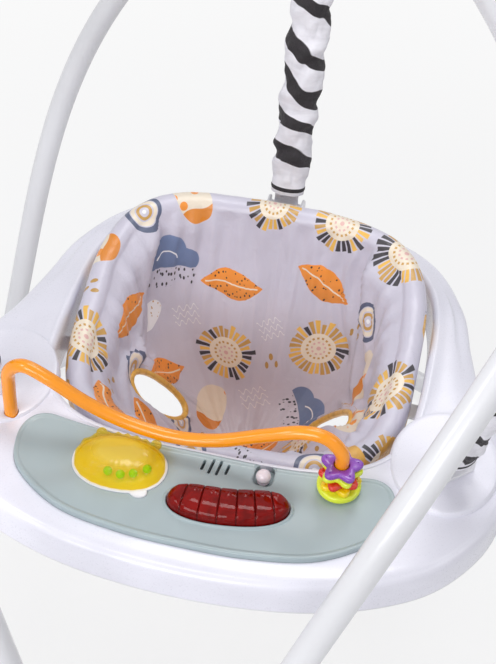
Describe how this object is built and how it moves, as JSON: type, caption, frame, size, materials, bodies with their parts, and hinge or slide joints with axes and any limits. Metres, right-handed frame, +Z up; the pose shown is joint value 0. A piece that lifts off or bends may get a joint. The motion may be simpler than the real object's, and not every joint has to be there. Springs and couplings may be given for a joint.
{
  "type": "baby jumper",
  "caption": "Free-standing baby jumper: a fabric seat in a toy tray hangs on sprung straps from arches that stand on a floor ring.",
  "frame": {"origin": "middle of the floor under the bounding box", "axes": "+Z up, the seated child faces -Y"},
  "size_m": [0.8846, 0.9036, 0.845],
  "materials": {
    "white_steel": "satin",
    "spring_steel": "bright",
    "grey_green_plastic": "satin",
    "pale_plastic": "satin",
    "white_plastic": "satin",
    "orange_plastic": "glossy",
    "red_lens": "glossy",
    "yellow_lens": "glossy",
    "purple_plastic": "glossy",
    "lime_plastic": "glossy",
    "red_plastic": "glossy",
    "yellow_plastic": "glossy",
    "green_plastic": "glossy",
    "pink_plastic": "glossy",
    "lavender_fabric": "soft padded weave",
    "gold_satin": "satin binding",
    "striped_fabric": "gathered weave",
    "white_webbing": "flat webbing",
    "black_plastic": "matte",
    "board_green": "matte",
    "cell_jacket": "satin"
  },
  "bodies": {
    "frame": {"rear_arch_left_tube": "white_steel", "rear_arch_right_tube": "white_steel", "left_arch_front_tube": "white_steel", "left_arch_rear_tube": "white_steel", "right_arch_front_tube": "white_steel", "right_arch_rear_tube": "white_steel", "floor_tube_rear": "white_steel", "floor_tube_left": "white_steel", "floor_tube_right": "white_steel", "foot_socket_front": "grey_green_plastic", "foot_socket_rear_right": "grey_green_plastic", "foot_socket_rear_left": "grey_green_plastic", "hub_housing_rear": "grey_green_plastic", "hub_housing_left": "grey_green_plastic", "hub_housing_right": "grey_green_plastic", "hanger_pin_rear": "spring_steel", "hanger_pin_left": "spring_steel", "hanger_pin_right": "spring_steel", "spring_rear": "spring_steel", "spring_left": "spring_steel", "spring_right": "spring_steel", "sleeve_rear": "striped_fabric", "sleeve_left": "striped_fabric", "sleeve_right": "striped_fabric"},
    "tray": {"strap_rear": "white_webbing", "strap_left": "white_webbing", "strap_right": "white_webbing", "strap_anchor_rear": "white_plastic", "strap_anchor_left": "white_plastic", "strap_anchor_right": "white_plastic", "tray_deck": "pale_plastic", "tray_base": "white_plastic", "toy_panel": "grey_green_plastic", "lamp_lens": "red_lens", "lamp_board": "board_green", "rattle_dome": "yellow_lens", "rattle_base": "white_plastic", "rattle_ball_1": "green_plastic", "rattle_ball_2": "green_plastic", "rattle_ball_3": "green_plastic", "rattle_ball_4": "green_plastic", "switch_body": "black_plastic", "speaker": "black_plastic", "circuit_board": "board_green", "battery_box": "white_plastic", "battery_door": "white_plastic", "battery_cell_1": "cell_jacket", "battery_cell_2": "cell_jacket", "battery_cell_3": "cell_jacket", "bead_tube": "orange_plastic", "seat_ring": "white_plastic", "seat_fabric": "lavender_fabric", "leg_binding_left": "gold_satin", "leg_binding_right": "gold_satin"},
    "switch_knob": {"switch_knob": "pink_plastic"},
    "purple_star": {"star_purple": "purple_plastic"},
    "lime_star": {"star_lime": "lime_plastic"},
    "red_star": {"star_red": "red_plastic"},
    "yellow_star": {"star_yellow": "yellow_plastic"},
    "lime_ring": {"ring_bead": "lime_plastic"}
  },
  "joints": [
    {"name": "tray_bounce", "type": "slide", "parent": "frame", "child": "tray", "axis": [0, 0, 1], "range_m": [-0.09, 0.05], "stiffness_N_per_m": 1200, "springref_m": 0.0187, "deforming": ["spring_rear", "spring_left", "spring_right", "sleeve_rear", "sleeve_left", "sleeve_right"]},
    {"name": "switch_slide", "type": "slide", "parent": "tray", "child": "switch_knob", "axis": [0, 1, 0], "range_m": [0, 0.0062]},
    {"name": "purple_star_lift", "type": "slide", "parent": "tray", "child": "purple_star", "axis": [0, 0, 1], "range_m": [0, 0.008]},
    {"name": "lime_star_spin", "type": "hinge", "parent": "tray", "child": "lime_star", "pos_m": [0.124, -0.12875, 0.44], "axis": [0, 0, 1], "continuous": true},
    {"name": "red_star_spin", "type": "hinge", "parent": "tray", "child": "red_star", "pos_m": [0.124, -0.12875, 0.44], "axis": [0, 0, 1], "continuous": true},
    {"name": "yellow_star_spin", "type": "hinge", "parent": "tray", "child": "yellow_star", "pos_m": [0.124, -0.12875, 0.44], "axis": [0, 0, 1], "continuous": true},
    {"name": "lime_ring_spin", "type": "hinge", "parent": "tray", "child": "lime_ring", "pos_m": [0.124, -0.12875, 0.44], "axis": [0, 0, 1], "continuous": true}
  ]
}
